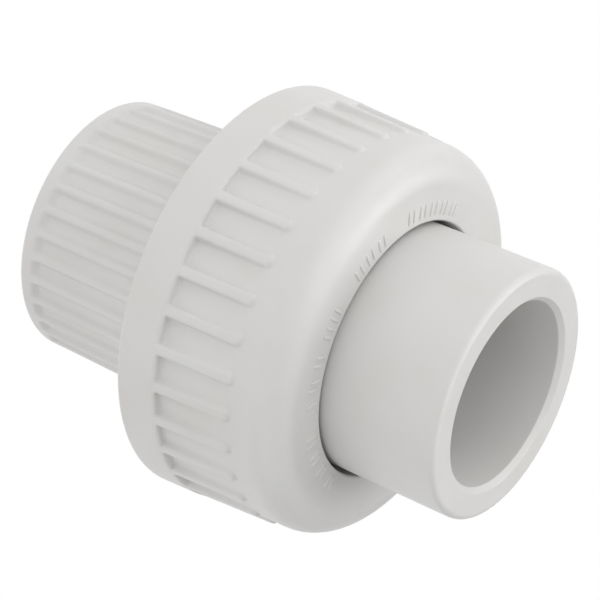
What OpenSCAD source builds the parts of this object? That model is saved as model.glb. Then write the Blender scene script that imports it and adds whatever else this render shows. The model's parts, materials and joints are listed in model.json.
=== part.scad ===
// Pipe union for 3/4 inch rigid PVC pipe: a ribbed, threaded body, a plain end
// connector with a collar, the nut that draws the two together, and the O-ring
// between them. The axis is +Z and the body's socket mouth stands at z = 0.

/* [Pipe] */
// Bore diameter of both solvent-weld sockets
socket_d = 26.8; // [26.7:0.05:27]
// Depth of each socket, mouth to stop
socket_depth = 19; // [16:0.5:22]
// Diameter of the water passage past the sockets
waterway_d = 20.9; // [18:0.1:22]
// Chamfer at each socket mouth
mouth_chamfer = 0.7; // [0.3:0.1:1]

/* [Threaded body] */
// Outer diameter of the hub at its open end, over the ribs
hub_end_d = 38.1; // [37:0.1:39]
// Outer diameter of the hub where it meets the nut, over the ribs
hub_root_d = 39.4; // [38:0.1:41]
// Length of the hub that stands out of the nut
hub_length = 27.4; // [24:0.1:30]
// Number of ribs around the hub
hub_ribs = 33; // [24:1:36]
// Height of the hub ribs
hub_rib_height = 0.5; // [0.3:0.1:0.9]
// Width of the hollow between two hub ribs
hub_hollow_width = 2.1; // [1.4:0.1:2.3]
// Turn of the hub's ribs about the axis, in degrees
hub_turn = 1.3; // [0:0.1:10]
// Plain rim at the hub's open end
hub_rim = 2.2; // [1:0.1:4]

/* [Union nut] */
// Outer diameter of the nut's back ring at its back
nut_ring_d = 60; // [59.5:0.5:62]
// Outer diameter of the back ring at its front
nut_ring_front_d = 59.6; // [59:0.1:62]
// Length of the nut
nut_length = 25.5; // [25:0.1:27]
// Width of the back ring
nut_ring_width = 6.1; // [3:0.1:7]
// Outer diameter of the nut's body at the back ring, between the ribs
nut_body_back_d = 57.4; // [57:0.1:58.4]
// Outer diameter of the nut's body at its front
nut_body_d = 57.2; // [56:0.1:58]
// Radius of the rounding around the nut's front face
nut_front_round = 4.7; // [2:0.1:5]
// Diameter of the hole that the end connector passes through
nut_hole_d = 37.4; // [37:0.1:38]
// Number of ribs around the nut
nut_ribs = 33; // [24:1:36]
// Height of the nut ribs at the back ring
nut_rib_back_height = 1.05; // [0.3:0.05:1.2]
// Height of the nut ribs at their front end
nut_rib_height = 0.5; // [0.3:0.05:0.8]
// Width of the nut ribs
nut_rib_width = 2.1; // [1.2:0.1:2.6]
// Distance from the nut's back face to the front end of the ribs
nut_rib_end = 18.2; // [14:0.1:19]
// Turn of the nut's ribs when the union is tight, in degrees
nut_turn = 0.8; // [0:0.1:10]

/* [End connector] */
// Outer diameter of the end connector's tube
tail_d = 36.1; // [35.5:0.1:36.4]
// Length of the whole union, socket mouth to socket mouth
union_length = 70.6; // [68:0.1:74]
// Rounding of the tube's outer edge at its open end
tail_edge = 0.9; // [0.3:0.1:1.5]
// Diameter of the collar that the nut pulls on
collar_d = 44.8; // [43:0.1:45]
// Thickness of the collar
collar_thickness = 4; // [3:0.1:5]

/* [Thread] */
// Axial advance for one turn
pitch = 4; // [3.6:0.2:4.4]
// Diameter over the crests of the body's thread
thread_major_d = 48.2; // [47.8:0.1:48.4]
// Height of the thread
thread_height = 1.4; // [1.2:0.1:1.5]
// Width of a thread's crest along the axis
crest_width = 1.0; // [0.8:0.1:1.1]
// Width of a thread's root along the axis
root_width = 2.4; // [2.2:0.1:2.5]
// Radial gap between the two threads
thread_gap = 0.3; // [0.2:0.05:0.35]
// Turns of thread on the body
body_turns = 2.5; // [2:0.25:2.5]
// Turns of thread in the nut
nut_turns = 3; // [2:0.25:3]

/* [Seal] */
// Height of the seal face above the nut's back face
seal_height = 16.2; // [16:0.1:16.4]
// Mean diameter of the O-ring
o_ring_d = 32.4; // [31:0.1:33]
// Height of the O-ring when the union is tight
o_ring_height = 2.14; // [2:0.01:2.2]
// Width of the O-ring when the union is tight
o_ring_width = 3.0; // [2.6:0.1:3.2]
// Depth of the groove that holds the O-ring
groove_depth = 2.1; // [2:0.05:2.2]
// Width of the groove that holds the O-ring
groove_width = 3.3; // [3.1:0.1:3.5]
// Gap left between the seal face and the collar
face_gap = 0.1; // [0.05:0.05:0.2]

/* [Hidden] */
$fn = 96;
// Segments in each arc, and in one turn of thread
arc_steps = 8;
thread_steps = 48;
// Angle over which a thread fades away at each end
thread_fade = 40;
// How far a thread is sunk into its wall, and how high it stands there once it has faded
embed = 0.35;
faded_height = 0.2;
// Turn of the nut's thread that brings it midway between the body's turns
nut_thread_turn = 123;
// Plain wall between the stop ring and the body's thread, and between the nut's thread and its seat
thread_start = 1.1;
thread_relief = 3;
// Chamfers and roundings
edge = 0.6;
lead_in = 1;
hole_edge = 0.3;
nut_ring_edge = 0.5;
nut_ring_foot = 0.3;
// Stop ring: how far it sits inside the nut, and its thickness
stop_inset = 0.3;
stop_thickness = 1;
// Play between the collar and the nut's seat
seat_gap = 0.05;
// How far the cutters of the hub's hollows reach outwards, and the nut's ribs inwards
hollow_reach = 3;
rib_reach = 1.5;

socket_r = socket_d / 2;
waterway_r = waterway_d / 2;
tail_r = tail_d / 2;
collar_r = collar_d / 2;
hub_end_r = hub_end_d / 2;
hub_root_r = hub_root_d / 2;
nut_ring_r = nut_ring_d / 2;
nut_ring_front_r = nut_ring_front_d / 2;
nut_body_back_r = nut_body_back_d / 2;
nut_body_r = nut_body_d / 2;
nut_hole_r = nut_hole_d / 2;
o_ring_r = o_ring_d / 2;

// Heights along the axis
nut_back_z = hub_length;
nut_front_z = nut_back_z + nut_length;
stop_z = nut_back_z + stop_inset;
stop_top_z = stop_z + stop_thickness;
seal_z = nut_back_z + seal_height;
collar_z = seal_z + face_gap;
collar_top_z = collar_z + collar_thickness;
nut_seat_z = collar_top_z + seat_gap;
groove_z = seal_z - groove_depth;

// Thread radii
body_major_r = thread_major_d / 2;
body_core_r = body_major_r - thread_height;
nut_root_r = body_major_r + thread_gap;
nut_minor_r = body_core_r + thread_gap;
body_thread_z = stop_top_z + root_width / 2 + thread_start;
nut_thread_z = body_thread_z - pitch / 2 + pitch * nut_thread_turn / 360;

// Points of an arc about c, from angle a0 to angle a1
function arc(c, r, a0, a1) =
    [for (i = [0 : arc_steps]) let (a = a0 + (a1 - a0) * i / arc_steps) c + r * [cos(a), sin(a)]];

// How much of its full height a thread has at angle a, of total angle: it fades at both ends
function fade(a, total) = min(1, a / thread_fade, (total - a) / thread_fade);

// A helical ridge of trapezoid section between radius base_r, which lies inside
// the wall that carries it, and radius crest_r. The ridge starts at z0.
module ridge(base_r, crest_r, z0, turns) {
    total = 360 * turns;
    rings = round(thread_steps * turns);
    outward = crest_r > base_r;
    points = [
        for (i = [0 : rings])
            let (
                a = total * i / rings,
                z = z0 + pitch * a / 360,
                sunk_r = base_r + (outward ? faded_height : -faded_height),
                tip_r = sunk_r + (crest_r - sunk_r) * fade(a, total),
                r_in = outward ? base_r : tip_r,
                r_out = outward ? tip_r : base_r,
                w_in = outward ? root_width : crest_width,
                w_out = outward ? crest_width : root_width
            )
            each [
                [r_in * cos(a), r_in * sin(a), z - w_in / 2],
                [r_out * cos(a), r_out * sin(a), z - w_out / 2],
                [r_out * cos(a), r_out * sin(a), z + w_out / 2],
                [r_in * cos(a), r_in * sin(a), z + w_in / 2]
            ]
    ];
    last = 4 * rings;
    faces = concat(
        [[3, 2, 1, 0]],
        [[last, last + 1, last + 2, last + 3]],
        [
            for (i = [0 : rings - 1], k = [0 : 3])
                let (p = 4 * i + k, q = 4 * i + (k + 1) % 4)
                each [[p, q, q + 4], [p, q + 4, p + 4]]
        ]
    );
    polyhedron(points = points, faces = faces);
}

// Tilted hollows that leave ribs standing on the hub's tapered side
module hub_hollows() {
    rise = hub_root_r - hub_end_r;
    floor_r = hub_end_r - hub_rib_height + rise * hub_rim / hub_length;
    for (i = [0 : hub_ribs - 1])
        rotate([0, 0, hub_turn + 360 * (i + 0.5) / hub_ribs])
            translate([floor_r, 0, hub_rim])
                rotate([0, atan(rise / hub_length), 0])
                    translate([0, -hub_hollow_width / 2, 0])
                        cube([hollow_reach, hub_hollow_width, hub_length - hub_rim]);
}

// Body: a socket below, a stop ring and the male thread around it, the seal groove on top
module threaded_body() {
    profile = [
        [socket_r + mouth_chamfer, 0],
        [hub_end_r - edge, 0],
        [hub_end_r, edge],
        [hub_root_r, stop_z],
        [body_major_r - edge, stop_z],
        [body_major_r, stop_z + edge],
        [body_major_r, stop_top_z],
        [body_core_r, stop_top_z],
        [body_core_r, seal_z - lead_in],
        [body_core_r - lead_in, seal_z],
        [o_ring_r + groove_width / 2, seal_z],
        [o_ring_r + groove_width / 2, groove_z],
        [o_ring_r - groove_width / 2, groove_z],
        [o_ring_r - groove_width / 2, seal_z],
        [waterway_r + mouth_chamfer, seal_z],
        [waterway_r, seal_z - mouth_chamfer],
        [waterway_r, socket_depth],
        [socket_r, socket_depth],
        [socket_r, mouth_chamfer]
    ];
    color("#dcdcd8") {
        difference() {
            rotate_extrude() polygon(profile);
            hub_hollows();
        }
        ridge(body_core_r - embed, body_major_r, body_thread_z, body_turns);
    }
}

// Plain tube with a socket on top and the collar that the nut pulls on
module end_connector() {
    top = union_length;
    shelf_z = top - socket_depth;
    profile = concat(
        [
            [waterway_r, collar_z],
            [collar_r - edge, collar_z],
            [collar_r, collar_z + edge],
            [collar_r, collar_top_z],
            [tail_r, collar_top_z]
        ],
        arc([tail_r - tail_edge, top - tail_edge], tail_edge, 0, 90),
        [
            [socket_r + mouth_chamfer, top],
            [socket_r, top - mouth_chamfer],
            [socket_r, shelf_z],
            [waterway_r, shelf_z]
        ]
    );
    color("#e2e2de") rotate_extrude() polygon(profile);
}

// One grip rib with a round front end, standing on the nut's side
module nut_rib() {
    back_r = nut_body_back_r + nut_rib_back_height;
    front_r = nut_body_r + nut_rib_height;
    half = nut_rib_width / 2;
    length = nut_rib_end - nut_ring_width + nut_ring_edge;
    fall = atan((back_r - front_r) / length);
    outline = concat([[0, -half], [0, half]], arc([half - length, 0], half, 90, 270));
    translate([back_r, 0, nut_back_z + nut_rib_end - length])
        rotate([0, 90 - fall, 0])
            translate([0, 0, -rib_reach])
                linear_extrude(rib_reach) polygon(outline);
}

// Nut: back ring, ribbed side, rounded front with a hole, and the female thread inside
module union_nut() {
    ring_front_z = nut_back_z + nut_ring_width;
    profile = concat(
        [
            [nut_root_r + lead_in, nut_back_z],
            [nut_ring_r - edge, nut_back_z],
            [nut_ring_r, nut_back_z + edge]
        ],
        arc([nut_ring_front_r - nut_ring_edge, ring_front_z - nut_ring_edge], nut_ring_edge, 0, 75),
        [[nut_body_back_r, ring_front_z + nut_ring_foot]],
        arc([nut_body_r - nut_front_round, nut_front_z - nut_front_round], nut_front_round, 0, 90),
        [
            [nut_hole_r + hole_edge, nut_front_z],
            [nut_hole_r, nut_front_z - hole_edge],
            [nut_hole_r, nut_seat_z],
            [nut_minor_r, nut_seat_z],
            [nut_minor_r, nut_seat_z - thread_relief],
            [nut_root_r, nut_seat_z - thread_relief - lead_in],
            [nut_root_r, nut_back_z + lead_in]
        ]
    );
    color("#dadad6") {
        rotate_extrude() polygon(profile);
        for (i = [0 : nut_ribs - 1]) rotate([0, 0, nut_turn + 360 * i / nut_ribs]) nut_rib();
        rotate([0, 0, nut_thread_turn])
            ridge(nut_root_r + embed, nut_minor_r, nut_thread_z, nut_turns);
    }
}

// O-ring as it sits in its groove when the union is tight: a flattened round section
module o_ring() {
    round_r = o_ring_height / 2;
    half_flat = o_ring_width / 2 - round_r;
    color("#202020")
        translate([0, 0, groove_z + round_r])
            rotate_extrude()
                translate([o_ring_r, 0])
                    union() {
                        translate([-half_flat, 0]) circle(r = round_r);
                        translate([half_flat, 0]) circle(r = round_r);
                        square([2 * half_flat, 2 * round_r], center = true);
                    }
}

threaded_body();
end_connector();
union_nut();
o_ring();
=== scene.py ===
"""Looks of a 3/4 inch PVC pipe union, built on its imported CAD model.

The union stands on its ribbed hub with its axis along +Z. Each CAD node is
replaced by one finely moulded mesh: a grid of rings round the axis, with helical
rows where there is a thread. Lengths are in metres and angles in degrees, and
an outline is a list of corners (radius, height, rounding, step).
"""

import json
import math

import bmesh
import bpy
import numpy as np
from mathutils import Matrix, Vector


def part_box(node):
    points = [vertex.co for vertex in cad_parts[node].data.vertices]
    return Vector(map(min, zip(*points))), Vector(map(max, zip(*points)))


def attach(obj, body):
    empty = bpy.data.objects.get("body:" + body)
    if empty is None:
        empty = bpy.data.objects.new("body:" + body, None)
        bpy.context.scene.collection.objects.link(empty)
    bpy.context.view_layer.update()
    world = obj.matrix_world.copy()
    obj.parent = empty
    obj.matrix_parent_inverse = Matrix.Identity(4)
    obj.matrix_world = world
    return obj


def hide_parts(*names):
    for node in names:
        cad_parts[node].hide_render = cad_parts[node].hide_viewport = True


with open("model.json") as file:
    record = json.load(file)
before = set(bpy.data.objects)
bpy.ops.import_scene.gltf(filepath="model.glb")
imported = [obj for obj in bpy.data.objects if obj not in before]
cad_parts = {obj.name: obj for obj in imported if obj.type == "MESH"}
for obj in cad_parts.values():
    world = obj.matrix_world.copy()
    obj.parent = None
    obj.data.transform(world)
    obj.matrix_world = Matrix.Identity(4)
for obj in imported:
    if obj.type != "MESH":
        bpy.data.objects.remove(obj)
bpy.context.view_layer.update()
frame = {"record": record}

MM = 0.001

# ---- Sizes read from the frame ----------------------------------------------

_, BODY_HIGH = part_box("threaded_body")
TUBE_LOW, TUBE_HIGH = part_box("end_connector")
NUT_LOW, NUT_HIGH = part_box("union_nut")
SEAL_LOW, SEAL_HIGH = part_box("o_ring")
MOUNTS = {m["name"]: m for m in frame["record"]["mounts"]}
PITCH = 2 * math.pi * frame["record"]["behaviour"]["couplings"][0]["ratio"]

SOCKET_R = MOUNTS["body_socket"]["dims"]["r_mm"] * MM
THREAD_R = BODY_HIGH.x
COLLAR_R = TUBE_HIGH.x
RING_R = NUT_HIGH.x
NUT_BACK = NUT_LOW.z
NUT_FRONT = NUT_HIGH.z
SEAL_FACE = BODY_HIGH.z
COLLAR_FACE = TUBE_LOW.z
UNION_TOP = TUBE_HIGH.z

# ---- Sizes of the mouldings -------------------------------------------------
# They are those of the CAD model, with rounded edges. Only the hub's hollows are
# 0.2 mm deeper, because their sides slope.

MOUTH_CHAMFER = 0.7 * MM
SOCKET_DEPTH = 19 * MM
WATERWAY_R = 10.45 * MM

HUB_END_R = 19.05 * MM
HUB_ROOT_R = 19.7 * MM
HUB_EDGE = 0.7 * MM
HUB_RIBS = 33
HUB_TURN = 1.3
HUB_RIB_HEIGHT = 0.7 * MM
HUB_RIB_TOP = 0.5 * MM
HUB_RIB_BASE = 2.3 * MM
HUB_RIM = 2.2 * MM
HUB_FADE = 1.2 * MM

STOP_INSET = 0.3 * MM
STOP_THICKNESS = 1 * MM
STOP_BASE = NUT_BACK + STOP_INSET
STOP_TOP = STOP_BASE + STOP_THICKNESS

NUT_BODY_BACK_R = 28.7 * MM
NUT_BODY_R = 28.6 * MM
NUT_HOLE_R = 18.7 * MM
NUT_ROUND = 4.7 * MM
RING_FRONT = NUT_BACK + 6.1 * MM
RING_FRONT_R = 29.8 * MM
RING_FOOT = RING_FRONT + 0.3 * MM
NUT_RIBS = 33
NUT_RIB_BACK_R = NUT_BODY_BACK_R + 1.05 * MM
NUT_RIB_FRONT_R = NUT_BODY_R + 0.5 * MM
NUT_RIB_WIDTH = 2.1 * MM
NUT_RIB_CROWN = 0.2
NUT_TURN = 0.8
NUT_RIB_END = NUT_BACK + 18.2 * MM

TUBE_R = 18.05 * MM
TUBE_EDGE = 0.9 * MM
COLLAR_TOP = COLLAR_FACE + 4 * MM
SEAT_GAP = 0.05 * MM
NUT_SEAT = COLLAR_TOP + SEAT_GAP

THREAD_HEIGHT = 1.4 * MM
THREAD_GAP = 0.3 * MM
CREST_WIDTH = 1.0 * MM
ROOT_WIDTH = 2.4 * MM
CORE_R = THREAD_R - THREAD_HEIGHT
NUT_ROOT_R = THREAD_R + THREAD_GAP
NUT_MINOR_R = CORE_R + THREAD_GAP
BODY_TURNS = 2.5
NUT_TURNS = 3
THREAD_START = 1.1 * MM
BODY_THREAD_Z = STOP_TOP + ROOT_WIDTH / 2 + THREAD_START
NUT_THREAD_TURN = 123
NUT_THREAD_Z = BODY_THREAD_Z - PITCH / 2 + PITCH * NUT_THREAD_TURN / 360
THREAD_FADE = 40
THREAD_SOFTNESS = 0.12
FADE_SOFTNESS = 0.15
LEAD_IN = 1 * MM
NUT_NECK = 3 * MM

GROOVE_R = 16.2 * MM
GROOVE_HALF_WIDTH = 1.65 * MM
GROOVE_FLOOR = SEAL_FACE - 2.1 * MM

MARK_R = 20.7 * MM
STROKE_APART = 1.2 * MM
STROKE_LENGTH = 2.2 * MM
STROKE_WIDTH = 0.5 * MM
STROKE_HEIGHT = 0.2 * MM
FACE_MARKS = (
    186, 193.5, 201, 208.5, 216,
    235, 242.5, 250,
    268, 275,
    286, 295.5, 305,
    320, 329.5, 339, 348.5,
)

# ---- Fineness of the meshes -------------------------------------------------
# The steps of plain and of shaped stretches, the rows that hold the shading beside a
# bend, how far an arc may stray from its circle, and how close two points are merged.

COARSE = 10 * MM
FINE = 0.25 * MM
FINER = 0.15 * MM
SUPPORT = 0.08 * MM
ARC_SAG = 0.004 * MM
MERGE = 0.0001 * MM
# Distances of the columns from a rib's middle, in millimetres
HUB_COLUMNS = (0.25, 0.45, 0.65, 0.85, 1, 1.15)
NUT_COLUMNS = (0.35, 0.6, 0.75, 0.875, 1, 1.15)


# ---- Outlines ---------------------------------------------------------------


def straight(a, b, step):
    """Points from a to b, at most step apart, with one close to each end to hold the shading."""
    length = math.dist(a, b)
    if length < 3 * SUPPORT:
        return [a, b]
    count = max(1, math.ceil((length - 2 * SUPPORT) / step))
    inner = [SUPPORT + (length - 2 * SUPPORT) * i / count for i in range(count + 1)]
    way = [(q - p) / length for p, q in zip(a, b)]
    return [a] + [tuple(p + w * s for p, w in zip(a, way)) for s in inner] + [b]


def rounded_corner(before, corner, after, rounding):
    """Points of the arc that rounds a corner, or the corner itself where it stays sharp."""
    here = np.array(corner[:2])
    came = np.array(before[:2]) - here
    goes = np.array(after[:2]) - here
    came, goes = came / np.linalg.norm(came), goes / np.linalg.norm(goes)
    turn = math.pi - math.acos(np.clip(came @ goes, -1, 1))
    if rounding <= 0 or turn < 1e-6:
        return [tuple(here)]
    reach = rounding * math.tan(turn / 2)
    middle = (came + goes) / np.linalg.norm(came + goes)
    centre = here + middle * math.hypot(reach, rounding)
    start, end = here + came * reach - centre, here + goes * reach - centre
    first = math.atan2(start[1], start[0])
    sweep = math.remainder(math.atan2(end[1], end[0]) - first, math.tau)
    count = max(3, math.ceil(turn / 2 / math.acos(1 - ARC_SAG / rounding)))
    angles = [first + sweep * i / count for i in range(count + 1)]
    return [tuple(centre + rounding * np.array([math.cos(a), math.sin(a)])) for a in angles]


def outline(corners, closed=False):
    """Dense (radius, height) points along corners given as (radius, height, rounding, step)."""
    corners = [tuple(c) + (0, COARSE)[len(c) - 2:] for c in corners]
    count = len(corners)
    arcs = []
    for i, corner in enumerate(corners):
        if not closed and i in (0, count - 1):
            arcs.append([corner[:2]])
        else:
            arcs.append(rounded_corner(corners[i - 1], corner, corners[(i + 1) % count], corner[2]))
    points = []
    for i in range(count if closed else count - 1):
        points += arcs[i][:-1] if len(arcs[i]) > 1 else []
        points += straight(arcs[i][-1], arcs[(i + 1) % count][0], corners[i][3])[:-1]
    if not closed:
        points += arcs[-1]
    return points


# ---- Meshes round the axis --------------------------------------------------


def even_angles(count):
    return np.arange(count) * 2 * math.pi / count


def rib_angles(ribs, radius, turn, offsets):
    """Angles round the axis: each rib's middle, offsets (in mm) to either side, and midway to the next."""
    half = math.pi * radius / ribs
    side = [o * MM for o in offsets]
    spread = [-o for o in reversed(side)] + [0] + side + [half]
    angles = [2 * math.pi * i / ribs + o / radius for i in range(ribs) for o in spread]
    return np.sort((np.array(angles) + math.radians(turn)) % (2 * math.pi))


def sweep(points, angles, relief=None, closed=False):
    """A grid of rings: each outline point goes round the axis. relief(angle, r, z) gives the radius."""
    r = np.array([p[0] for p in points])[:, None] + 0 * angles[None, :]
    z = np.array([p[1] for p in points])[:, None] + 0 * angles[None, :]
    if relief is not None:
        r = relief(angles[None, :], r, z)
    vertices = np.stack([r * np.cos(angles), r * np.sin(angles), z], axis=-1).reshape(-1, 3)
    rings, columns = len(points), len(angles)
    ring = np.arange(rings if closed else rings - 1)[:, None]
    column = np.arange(columns)[None, :]
    up, across = (ring + 1) % rings, (column + 1) % columns
    corners = [
        ring * columns + column,
        ring * columns + across,
        up * columns + across,
        up * columns + column,
    ]
    return vertices, np.stack(corners, axis=-1).reshape(-1, 4)


def soft_clamp(x, softness):
    """x held between 0 and 1, with both bends rounded over softness."""
    low = np.where(x < softness, np.maximum(x + softness, 0) ** 2 / (4 * softness), x)
    top = 1 - x
    high = np.where(top < softness, np.maximum(top + softness, 0) ** 2 / (4 * softness), top)
    return np.where(x < 0.5, low, 1 - high)


def screw_wall(angles, low, high, wall_r, crest_r, start_z, start_turn, turns):
    """The part of a round wall from height low to high that carries a helical thread.

    Its rows follow the helix, so the last column joins the first one pitch higher. Rows past
    either end lie on that end's circle, and merge there.
    """
    root, crest = ROOT_WIDTH / 2, CREST_WIDTH / 2
    # Rows from the middle of the crest, down the flank, to the middle of the root
    side = np.concatenate([
        [0.5 * crest],
        crest + (root - crest) * np.linspace(-0.15, 1.15, 7),
        [root + (PITCH / 2 - root) * 0.6],
    ])
    offsets = np.concatenate([-side[::-1], [0], side, [PITCH / 2]])
    height = soft_clamp((root - np.abs(offsets)) / (root - crest), THREAD_SOFTNESS)
    first = math.floor((low - start_z) / PITCH) - 2
    last = math.ceil((high - start_z) / PITCH) + 2
    turn = np.repeat(np.arange(first, last + 1), len(offsets))[None, :]
    along = np.degrees(angles)[:, None] - start_turn + 360 * turn
    ends = np.minimum(along, 360 * turns - along) / THREAD_FADE
    full = soft_clamp(ends, FADE_SOFTNESS)
    z = start_z + PITCH * along / 360 + np.tile(offsets, last - first + 1)[None, :]
    r = wall_r + (crest_r - wall_r) * np.tile(height, last - first + 1)[None, :] * full
    r = np.where((z <= low) | (z >= high), wall_r, r)
    z = np.clip(z, low, high)
    a = angles[:, None]
    vertices = np.stack([r * np.cos(a), r * np.sin(a), z], axis=-1).reshape(-1, 3)
    columns, rows = z.shape
    column = np.arange(columns)[:, None]
    row = np.arange(rows - 1)[None, :]
    across = (column + 1) % columns
    shift = np.where(column == columns - 1, len(offsets), 0)
    corners = [
        column * rows + row,
        across * rows + np.minimum(row + shift, rows - 1),
        across * rows + np.minimum(row + 1 + shift, rows - 1),
        column * rows + row + 1,
    ]
    return vertices, np.stack(corners, axis=-1).reshape(-1, 4)


def make_object(name, patches, material):
    """One smooth, closed mesh from patches that share their borders."""
    vertices, faces, base = [], [], 0
    for points, quads in patches:
        vertices.append(points)
        faces.append(quads + base)
        base += len(points)
    mesh = bpy.data.meshes.new(name)
    mesh.from_pydata(np.concatenate(vertices).tolist(), [], np.concatenate(faces).tolist())
    grid = bmesh.new()
    grid.from_mesh(mesh)
    bmesh.ops.remove_doubles(grid, verts=grid.verts, dist=MERGE)
    bmesh.ops.recalc_face_normals(grid, faces=grid.faces)
    open_edges = sum(not e.is_manifold for e in grid.edges)
    print(f"{name}: {len(grid.faces)} faces, {open_edges} open edges, {grid.calc_volume() * 1e9:.0f} mm3")
    grid.to_mesh(mesh)
    grid.free()
    mesh.shade_smooth()
    mesh.materials.append(material)
    piece = bpy.data.objects.new(name, mesh)
    bpy.context.scene.collection.objects.link(piece)
    return piece


# ---- Ribs -------------------------------------------------------------------


def from_rib(angle, ribs, turn):
    """Angle to the middle of the nearest rib, in radians."""
    spacing = 2 * math.pi / ribs
    return (angle - math.radians(turn) + spacing / 2) % spacing - spacing / 2


def fall(distance, near, far):
    """1 up to near, 0 beyond far and a smooth slope between."""
    t = np.clip((far - distance) / (far - near), 0, 1)
    return t * t * (3 - 2 * t)


def body_r(z):
    """Radius of the nut's tapered body between its ribs."""
    along = (z - RING_FOOT) / (NUT_FRONT - RING_FOOT)
    return NUT_BODY_BACK_R + (NUT_BODY_R - NUT_BODY_BACK_R) * along


def nut_relief(angle, r, z):
    """Grip ribs on the nut's side: they run out of the ring's shoulder and end in a round nose."""
    half = NUT_RIB_WIDTH / 2
    nose = NUT_RIB_END - half
    aside = from_rib(angle, NUT_RIBS, NUT_TURN) * NUT_BODY_R
    distance = np.hypot(aside, np.maximum(z - nose, 0))
    crown = 1 - NUT_RIB_CROWN * (distance / half) ** 2
    rib = crown * fall(distance, half - 0.45 * MM, half + 0.1 * MM)
    along = (z - RING_FRONT) / (NUT_RIB_END - RING_FRONT)
    top_r = NUT_RIB_BACK_R + (NUT_RIB_FRONT_R - NUT_RIB_BACK_R) * along
    room = np.maximum(top_r - r, 0)
    outside = (r > NUT_BODY_R - 0.2 * MM) & (z > RING_FRONT - 1 * MM) & (z < NUT_RIB_END + half)
    return np.where(outside, r + rib * room, r)


def hub_relief(angle, r, z):
    """Hollows between the hub's round-topped ribs, closed by the rim below and the stop ring above."""
    aside = np.abs(from_rib(angle, HUB_RIBS, HUB_TURN)) * HUB_ROOT_R
    hollow = 1 - fall(aside, HUB_RIB_TOP / 2, HUB_RIB_BASE / 2)
    below = fall(-z, -HUB_RIM - HUB_FADE, -HUB_RIM + 0.3 * MM)
    above = fall(z, NUT_BACK - 0.1 * MM, NUT_BACK + 0.25 * MM)
    outside = (r > HUB_END_R - 0.05 * MM) & (z < STOP_BASE)
    return np.where(outside, r - HUB_RIB_HEIGHT * hollow * below * above, r)


# ---- Pieces -----------------------------------------------------------------


def build_threaded_body(material):
    """The hub with its socket, the stop ring, the threaded wall and the face with the seal's groove."""
    angles = rib_angles(HUB_RIBS, HUB_ROOT_R, HUB_TURN, HUB_COLUMNS)
    thread_low = STOP_TOP + 0.35 * MM
    thread_high = SEAL_FACE - LEAD_IN - 0.25 * MM
    groove_in = GROOVE_R - GROOVE_HALF_WIDTH
    groove_out = GROOVE_R + GROOVE_HALF_WIDTH
    lower = outline([
        (CORE_R, thread_low),
        (CORE_R, STOP_TOP, 0.3 * MM),
        (THREAD_R, STOP_TOP, 0.15 * MM),
        (THREAD_R, STOP_BASE, 0.4 * MM),
        (HUB_ROOT_R, STOP_BASE, 0.3 * MM, FINE),
        (HUB_ROOT_R - 0.05 * MM, NUT_BACK - 1 * MM),
        (HUB_END_R + 0.1 * MM, HUB_RIM + HUB_FADE, 0, FINE),
        (HUB_END_R + 0.03 * MM, HUB_RIM - 0.5 * MM),
        (HUB_END_R, 0, HUB_EDGE),
        (SOCKET_R + MOUTH_CHAMFER, 0, 0.12 * MM),
        (SOCKET_R, MOUTH_CHAMFER, 0.2 * MM),
        (SOCKET_R, SOCKET_DEPTH, 0.3 * MM),
        (WATERWAY_R, SOCKET_DEPTH, 0.4 * MM),
        (WATERWAY_R, SEAL_FACE, 0.5 * MM),
        (groove_in, SEAL_FACE, 0.15 * MM),
        (groove_in, GROOVE_FLOOR, 0.25 * MM),
        (groove_out, GROOVE_FLOOR, 0.25 * MM),
        (groove_out, SEAL_FACE, 0.15 * MM),
        (CORE_R - LEAD_IN, SEAL_FACE, 0.2 * MM),
        (CORE_R, SEAL_FACE - LEAD_IN, 0.2 * MM),
        (CORE_R, thread_high),
    ])
    patches = [
        sweep(lower, angles, hub_relief),
        screw_wall(angles, thread_low, thread_high, CORE_R, THREAD_R, BODY_THREAD_Z, 0, BODY_TURNS),
    ]
    return make_object("threaded_body_moulding", patches, material)


def build_end_connector(material):
    """The tube with its socket, and the collar that the nut pulls on."""
    shelf = UNION_TOP - SOCKET_DEPTH
    points = outline([
        (WATERWAY_R, COLLAR_FACE, 0.4 * MM),
        (COLLAR_R, COLLAR_FACE, 0.5 * MM),
        (COLLAR_R, COLLAR_TOP, 0.3 * MM),
        (TUBE_R, COLLAR_TOP, 0.4 * MM),
        (TUBE_R, UNION_TOP, TUBE_EDGE),
        (SOCKET_R + MOUTH_CHAMFER, UNION_TOP, 0.12 * MM),
        (SOCKET_R, UNION_TOP - MOUTH_CHAMFER, 0.2 * MM),
        (SOCKET_R, shelf, 0.3 * MM),
        (WATERWAY_R, shelf, 0.4 * MM),
    ], closed=True)
    patches = [sweep(points, even_angles(288), closed=True)]
    return make_object("end_connector_moulding", patches, material)


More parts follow.
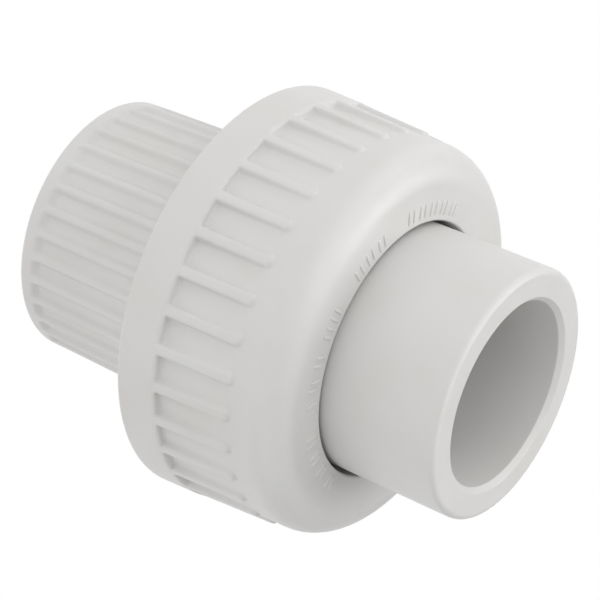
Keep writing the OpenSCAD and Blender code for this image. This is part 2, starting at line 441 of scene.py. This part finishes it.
def build_union_nut(material):
    """The nut with its back ring, grip ribs, rounded face, seat and threaded wall."""
    angles = rib_angles(NUT_RIBS, NUT_BODY_R, NUT_TURN, NUT_COLUMNS)
    neck_low = NUT_SEAT - NUT_NECK
    thread_low = NUT_BACK + LEAD_IN + 0.3 * MM
    thread_high = neck_low - LEAD_IN - 0.7 * MM
    rib_nose = NUT_RIB_END - 2 * MM
    rib_past = NUT_RIB_END + 0.5 * MM
    points = outline([
        (NUT_ROOT_R, thread_low),
        (NUT_ROOT_R, NUT_BACK + LEAD_IN, 0.2 * MM),
        (NUT_ROOT_R + LEAD_IN, NUT_BACK, 0.2 * MM),
        (RING_R, NUT_BACK, 0.35 * MM),
        (RING_FRONT_R, RING_FRONT, 0.6 * MM, 0.12 * MM),
        (NUT_BODY_BACK_R, RING_FOOT, 0.5 * MM, 0.8 * MM),
        (body_r(rib_nose), rib_nose, 0, FINER),
        (body_r(rib_past), rib_past),
        (NUT_BODY_R, NUT_FRONT, NUT_ROUND),
        (NUT_HOLE_R, NUT_FRONT, 0.35 * MM),
        (NUT_HOLE_R, NUT_SEAT, 0.2 * MM),
        (NUT_MINOR_R, NUT_SEAT, 0.3 * MM),
        (NUT_MINOR_R, neck_low, 0.2 * MM),
        (NUT_ROOT_R, neck_low - (NUT_ROOT_R - NUT_MINOR_R), 0.2 * MM),
        (NUT_ROOT_R, thread_high),
    ])
    patches = [
        sweep(points, angles, nut_relief),
        screw_wall(
            angles, thread_low, thread_high,
            NUT_ROOT_R, NUT_MINOR_R, NUT_THREAD_Z, NUT_THREAD_TURN, NUT_TURNS,
        ),
    ]
    return make_object("union_nut_moulding", patches, material)


def square_off(x):
    """A sine or cosine pushed towards 1 and -1, which squares a circle off."""
    return np.sign(x) * np.abs(x) ** 0.5


def rounded_bar(centre, along, length, width, height):
    """A raised stroke on a face that looks up +Z: a pillow with full ends, half of it inside the face."""
    turn = np.linspace(0, 2 * math.pi, 24, endpoint=False)[None, :]
    tilt = np.linspace(-math.pi / 2, math.pi / 2, 13)[:, None]
    x = length / 2 * square_off(np.cos(turn)) * np.cos(tilt) ** 0.6
    y = width / 2 * square_off(np.sin(turn)) * np.cos(tilt) ** 0.6
    z = height * np.sin(tilt) + 0 * turn
    c, s = math.cos(along), math.sin(along)
    points = np.stack([centre[0] + c * x - s * y, centre[1] + s * x + c * y, centre[2] + z], axis=-1)
    rings, columns = x.shape
    ring = np.arange(rings - 1)[:, None]
    column = np.arange(columns)[None, :]
    across = (column + 1) % columns
    low, high = ring * columns, (ring + 1) * columns
    quads = [low + column, low + across, high + across, high + column]
    return points.reshape(-1, 3), np.stack(quads, axis=-1).reshape(-1, 4)


def build_face_marks(material):
    """Plain moulded strokes that stand up from the nut's face, two at each of FACE_MARKS."""
    patches = []
    for angle in FACE_MARKS:
        for side in (-1, 1):
            turn = math.radians(angle) + side * STROKE_APART / 2 / MARK_R
            centre = (MARK_R * math.cos(turn), MARK_R * math.sin(turn), NUT_FRONT)
            patches.append(rounded_bar(centre, turn, STROKE_LENGTH, STROKE_WIDTH, STROKE_HEIGHT))
    return make_object("nut_face_marks", patches, material)


def build_o_ring(material):
    """The squeezed seal: a flattened round section, almost a half circle on either side."""
    low, high = SEAL_LOW.z, SEAL_HIGH.z
    outer = SEAL_HIGH.x
    inner = 2 * GROOVE_R - outer
    rounding = (high - low) / 2 * 0.98
    corners = [(inner, low), (outer, low), (outer, high), (inner, high)]
    points = outline([(*corner, rounding) for corner in corners], closed=True)
    return make_object("seal_ring", [sweep(points, even_angles(192), closed=True)], material)


# ---- Materials --------------------------------------------------------------


class Nodes:
    """Adds nodes to a new material and joins them."""

    def __init__(self, name):
        self.material = bpy.data.materials.new(name)
        self.material.use_nodes = True
        self.tree = self.material.node_tree
        self.shader = self.tree.nodes["Principled BSDF"]
        self.place = self.add("ShaderNodeTexCoord").outputs["Object"]

    def add(self, kind, **inputs):
        node = self.tree.nodes.new(kind)
        for name, value in inputs.items():
            self.feed(node.inputs[name.replace("_", " ")], value)
        return node

    def feed(self, socket, value):
        if isinstance(value, bpy.types.NodeSocket):
            self.tree.links.new(value, socket)
        else:
            socket.default_value = value

    def noise(self, size, detail=2.0):
        """Noise between 0 and 1 whose features are about size across, in metres."""
        node = self.add("ShaderNodeTexNoise", Vector=self.place, Scale=1 / size, Detail=detail)
        return node.outputs["Fac"]

    def between(self, factor, low, high, near=0.3, far=0.7):
        """A number from low to high as factor goes from near to far."""
        inputs = {"Value": factor, "From_Min": near, "From_Max": far, "To_Min": low, "To_Max": high}
        return self.add("ShaderNodeMapRange", **inputs).outputs["Result"]

    def blend(self, factor, first, second):
        """A colour from first to second as factor goes from 0 to 1."""
        node = self.add("ShaderNodeMixRGB", Fac=factor, Color1=(*first, 1), Color2=(*second, 1))
        return node.outputs["Color"]

    def bump(self, height, depth, after=None):
        """A bump of the given depth in metres, added to the one before it."""
        node = self.add("ShaderNodeBump", Height=height, Strength=1.0, Distance=depth)
        if after is not None:
            self.feed(node.inputs["Normal"], after)
        return node.outputs["Normal"]


def moulded_pvc(name, colour):
    """Satin rigid PVC: faint clouding from the melt, a fine grain and a slightly wavy moulded skin."""
    nodes = Nodes(name)
    pale = tuple(c * 1.015 for c in colour)
    warm = (colour[0] * 0.985, colour[1] * 0.975, colour[2] * 0.95)
    cloud = nodes.between(nodes.noise(9 * MM, 4), 0, 1)
    nodes.feed(nodes.shader.inputs["Base Color"], nodes.blend(cloud, pale, warm))
    nodes.feed(nodes.shader.inputs["Roughness"], nodes.between(nodes.noise(2.5 * MM, 3), 0.4, 0.5))
    skin = nodes.bump(nodes.noise(1.6 * MM, 1), 0.012 * MM)
    nodes.feed(nodes.shader.inputs["Normal"], nodes.bump(nodes.noise(0.3 * MM, 2), 0.006 * MM, skin))
    return nodes.material


def seal_rubber(name):
    """Black rubber with a dull bloom and a fine grain."""
    nodes = Nodes(name)
    bloom = nodes.between(nodes.noise(2 * MM, 3), 0, 1)
    colour = nodes.blend(bloom, (0.018, 0.018, 0.019), (0.035, 0.035, 0.035))
    nodes.feed(nodes.shader.inputs["Base Color"], colour)
    nodes.feed(nodes.shader.inputs["Roughness"], nodes.between(nodes.noise(0.8 * MM), 0.42, 0.6))
    nodes.feed(nodes.shader.inputs["Normal"], nodes.bump(nodes.noise(0.2 * MM), 0.008 * MM))
    return nodes.material


# ---- Camera and stage -------------------------------------------------------

VIEW_AZIMUTH = 0.4
VIEW_ELEVATION = 29.5
VIEW_ROLL = 113.0
VIEW_DISTANCE = 355.5 * MM
AIM_RIGHT = 6.63 * MM
AIM_UP = -1.83 * MM
LENS = 150
SENSOR = 36
FLOOR_REACH = 4.0
FLOOR_GLOW = 1.0
SKY_GLOW = 0.16

PVC_COLOUR = (0.646, 0.64, 0.637)

# Name, azimuth, elevation and power of each soft light
SOFTBOXES = (
    ("softbox_key", -135, 55, 3.6),
    ("softbox_key_front", -45, 55, 1.9),
    ("softbox_side", -90, 20, 1.3),
    ("softbox_side_front", -45, 20, 1.25),
    ("softbox_front", 0, 20, 1.1),
    ("softbox_fill_front", 45, 20, 1.0),
    ("softbox_fill", 90, 20, 1.0),
    ("softbox_back", 135, 55, 1.0),
    ("softbox_top", 0, 90, 0.9),
)


def view_axes():
    """The camera's right, up and backward directions at the chosen angle and roll."""
    az, el, roll = (math.radians(a) for a in (VIEW_AZIMUTH, VIEW_ELEVATION, VIEW_ROLL))
    back = Vector((math.sin(az) * math.cos(el), -math.cos(az) * math.cos(el), math.sin(el)))
    level = Vector((math.cos(az), math.sin(az), 0))
    right = level * math.cos(roll) + back.cross(level) * math.sin(roll)
    return right, back.cross(right), back


def add_camera():
    """A long lens aimed beside the centre of the nut's back face."""
    right, up, back = view_axes()
    place = Vector((0, 0, NUT_BACK)) + right * AIM_RIGHT + up * AIM_UP + back * VIEW_DISTANCE
    data = bpy.data.cameras.new("camera")
    data.lens = LENS
    data.sensor_width = SENSOR
    data.clip_start = 0.01
    camera = bpy.data.objects.new("camera", data)
    camera.matrix_world = Matrix.Translation(place) @ Matrix((right, up, back)).transposed().to_4x4()
    bpy.context.scene.collection.objects.link(camera)
    bpy.context.scene.camera = camera


def add_floor():
    """A plain white floor that glows as evenly as a light table, so the union casts no shadow on it."""
    mesh = bpy.data.meshes.new("floor")
    corners = [(-1, -1, 0), (1, -1, 0), (1, 1, 0), (-1, 1, 0)]
    mesh.from_pydata([FLOOR_REACH * Vector(corner) for corner in corners], [], [(0, 1, 2, 3)])
    floor = bpy.data.objects.new("floor", mesh)
    material = bpy.data.materials.new("floor_white")
    material.use_nodes = True
    shader = material.node_tree.nodes["Principled BSDF"]
    shader.inputs["Base Color"].default_value = (0, 0, 0, 1)
    shader.inputs["Specular IOR Level"].default_value = 0
    shader.inputs["Emission Color"].default_value = (1, 1, 1, 1)
    shader.inputs["Emission Strength"].default_value = FLOOR_GLOW
    mesh.materials.append(material)
    bpy.context.scene.collection.objects.link(floor)


def add_world():
    """A studio that looks white and lights the union with the softer glow SKY_GLOW."""
    world = bpy.data.worlds.new("studio")
    world.use_nodes = True
    tree = world.node_tree
    glow = tree.nodes["Background"]
    glow.inputs["Color"].default_value = (1, 1, 1, 1)
    glow.inputs["Strength"].default_value = SKY_GLOW
    seen = tree.nodes.new("ShaderNodeBackground")
    seen.inputs["Color"].default_value = (1, 1, 1, 1)
    ray = tree.nodes.new("ShaderNodeLightPath")
    mix = tree.nodes.new("ShaderNodeMixShader")
    tree.links.new(ray.outputs["Is Camera Ray"], mix.inputs[0])
    tree.links.new(glow.outputs["Background"], mix.inputs[1])
    tree.links.new(seen.outputs["Background"], mix.inputs[2])
    tree.links.new(mix.outputs["Shader"], tree.nodes["World Output"].inputs["Surface"])
    bpy.context.scene.world = world


def add_softbox(name, azimuth, elevation, power, size=0.5, distance=0.9):
    """A square soft light aimed at the union. Azimuth 0 is the side the camera looks from, 90 is +X."""
    az, el = math.radians(azimuth), math.radians(elevation)
    away = Vector((math.sin(az) * math.cos(el), -math.cos(az) * math.cos(el), math.sin(el)))
    data = bpy.data.lights.new(name, "AREA")
    data.size = size
    data.energy = power
    light = bpy.data.objects.new(name, data)
    light.location = Vector((0, 0, UNION_TOP / 2)) + away * distance
    light.rotation_euler = away.to_track_quat("Z", "Y").to_euler()
    bpy.context.scene.collection.objects.link(light)


# ---- Build ------------------------------------------------------------------

bpy.context.scene.view_settings.view_transform = "Standard"
add_camera()
add_floor()
add_world()

for box in SOFTBOXES:
    add_softbox(*box)

PVC = moulded_pvc("pvc_light_grey", PVC_COLOUR)
RUBBER = seal_rubber("seal_rubber")

for piece, body, nodes, slot in (
    (build_threaded_body(PVC), "threaded_body", ["threaded_body"], "pvc_body"),
    (build_end_connector(PVC), "end_connector", ["end_connector"], "pvc_connector"),
    (build_union_nut(PVC), "union_nut", ["union_nut"], "pvc_nut"),
    (build_o_ring(RUBBER), "threaded_body", ["o_ring"], "rubber_seal"),
    (build_face_marks(PVC), "union_nut", [], "pvc_nut"),
):
    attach(piece, body)
    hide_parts(*nodes)
